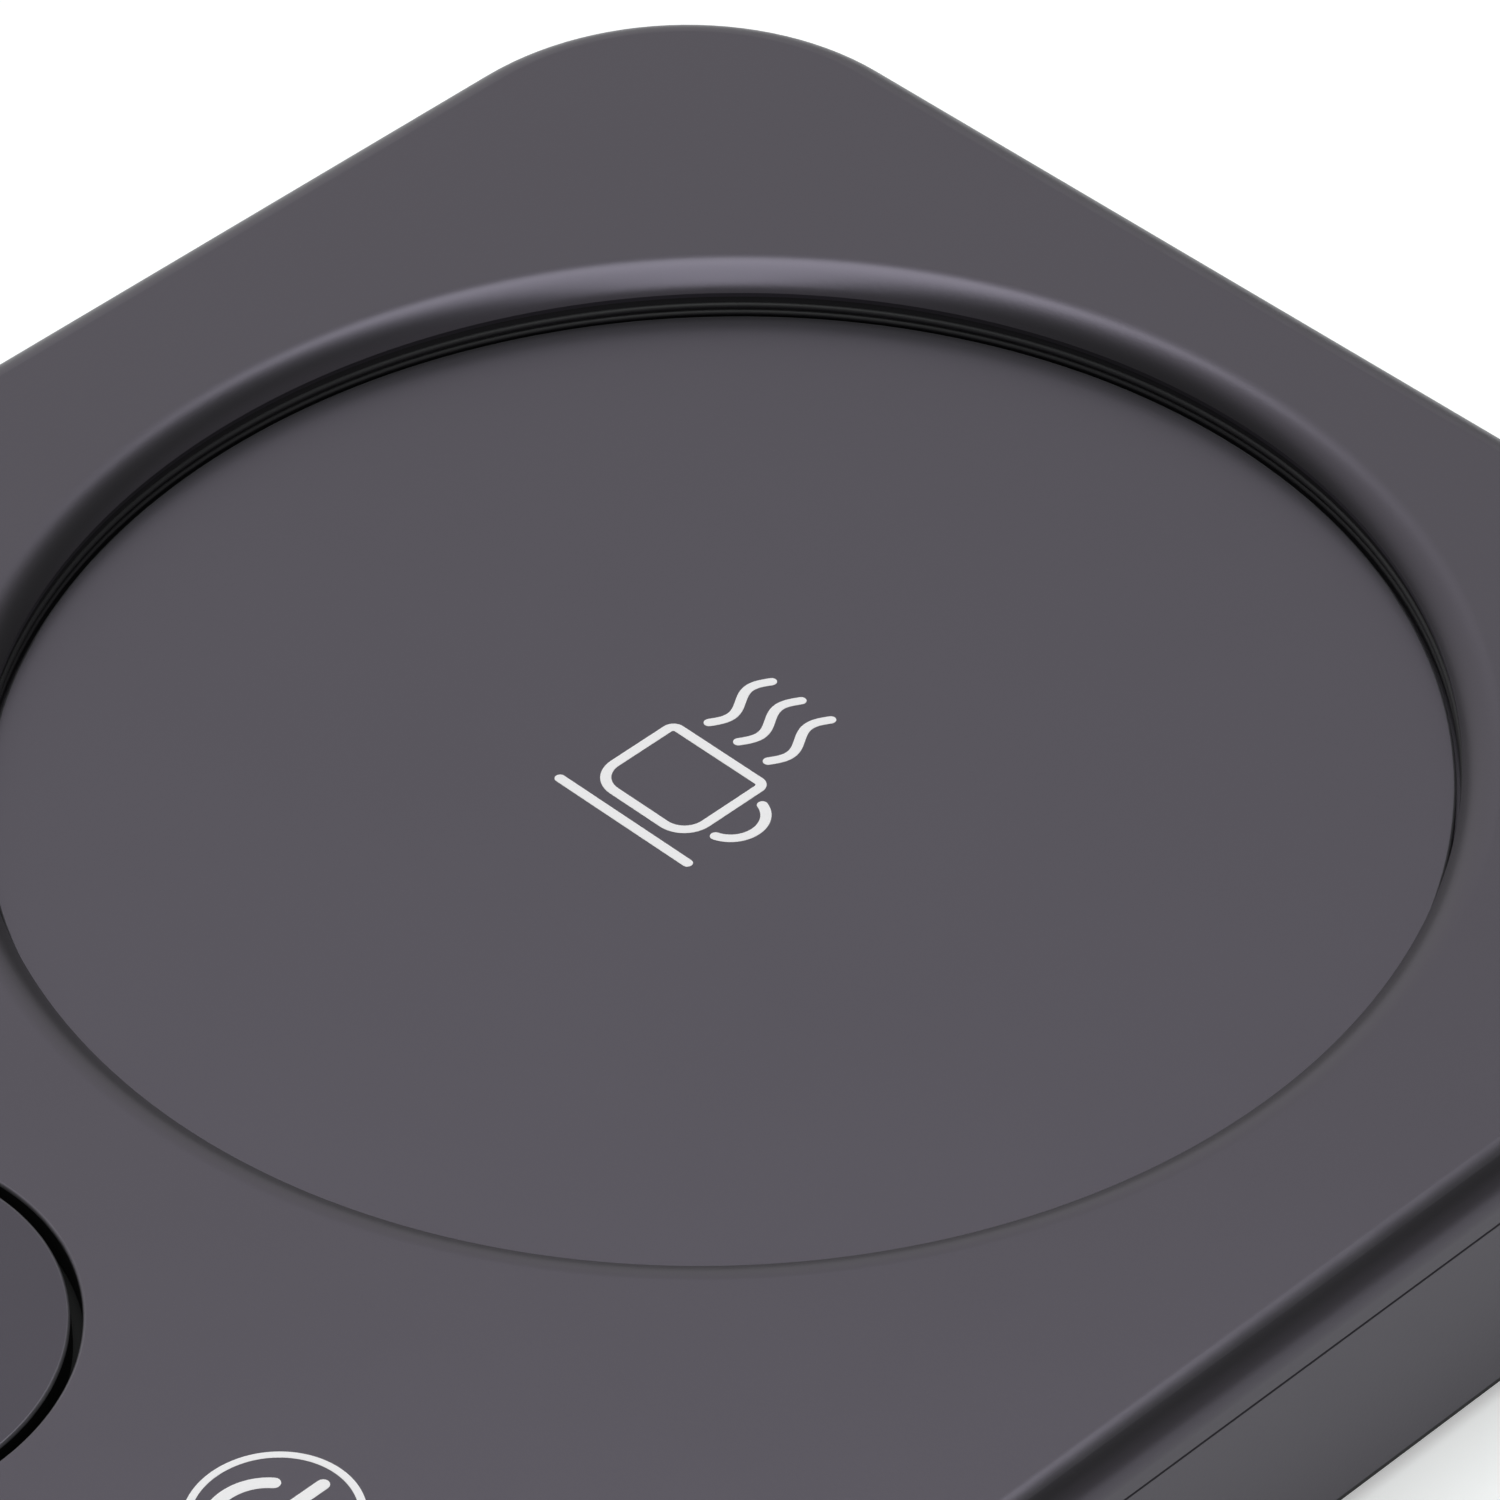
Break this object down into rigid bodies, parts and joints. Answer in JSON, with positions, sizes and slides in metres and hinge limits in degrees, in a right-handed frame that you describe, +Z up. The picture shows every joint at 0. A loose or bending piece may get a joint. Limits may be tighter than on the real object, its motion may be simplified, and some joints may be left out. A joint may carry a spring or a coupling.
{
  "type": "electric mug warmer",
  "caption": "Electric mug warmer with a rounded rectangular case, a round sunk heating plate, a large round push button and a printed touch symbol.",
  "frame": {"origin": "centre of the footprint, on the table under the feet", "axes": "+X to the user's right, +Y to the back, +Z up"},
  "size_m": [0.121, 0.154, 0.0185],
  "materials": {
    "case_plastic": "dark grey, fine satin grain",
    "button_plastic": "dark grey, fine satin grain",
    "plate_coating": "dark grey satin coating on aluminium",
    "seal_rubber": "black silicone rubber, matt",
    "foot_rubber": "black rubber, matt",
    "heater_film": "amber film with an etched track",
    "insulation_board": "pale ceramic fibre board",
    "clamp_steel": "zinc plated sheet steel",
    "screw_steel": "zinc plated steel",
    "spring_steel": "drawn spring wire",
    "guide_plastic": "black moulded plastic",
    "switch_plastic": "black moulded plastic",
    "plunger_plastic": "white moulded plastic",
    "circuit_board": "green solder mask",
    "chip_resin": "black moulded resin with tinned legs",
    "can_sleeve": "dark sleeve over an aluminium can",
    "electrode_foam": "conductive foam",
    "connector_nylon": "natural nylon",
    "inlet_steel": "nickel plated sheet steel",
    "inlet_resin": "black moulded resin",
    "red_wire": "silicone wire sleeve",
    "pale_wire": "silicone wire sleeve",
    "bead_glass": "glass bead",
    "fuse_metal": "metal can"
  },
  "bodies": {
    "housing": {"base_tray": "case_plastic", "board_screws": "screw_steel", "button_guide": "guide_plastic", "button_spring": "spring_steel", "casing_screws": "screw_steel", "clamp_plate": "clamp_steel", "clamp_screws": "screw_steel", "control_board": "circuit_board", "controller_chip": "chip_resin", "filter_capacitor": "can_sleeve", "guide_screws": "screw_steel", "heater_connector": "connector_nylon", "heater_leads": "red_wire", "heater_mat": "heater_film", "heating_plate": "plate_coating", "inlet_board": "circuit_board", "inlet_insert": "inlet_resin", "inlet_screws": "screw_steel", "inlet_shell": "inlet_steel", "insulation_pad": "insulation_board", "plate_gasket": "seal_rubber", "power_connector": "connector_nylon", "power_leads": "red_wire", "power_transistor": "chip_resin", "rubber_feet": "foot_rubber", "sensor_connector": "connector_nylon", "sensor_leads": "pale_wire", "switch_body": "switch_plastic", "thermal_fuse": "fuse_metal", "thermistor": "bead_glass", "top_shell": "case_plastic", "touch_electrode": "electrode_foam"},
    "button": {"button_cap": "button_plastic", "switch_plunger": "plunger_plastic"}
  },
  "joints": [
    {"name": "button_press", "type": "slide", "parent": "housing", "child": "button", "axis": [0, 0, -1], "range_m": [0, 0.0012], "stiffness_N_per_m": 500, "springref_m": -0.002, "deforming": ["button_spring"]}
  ]
}
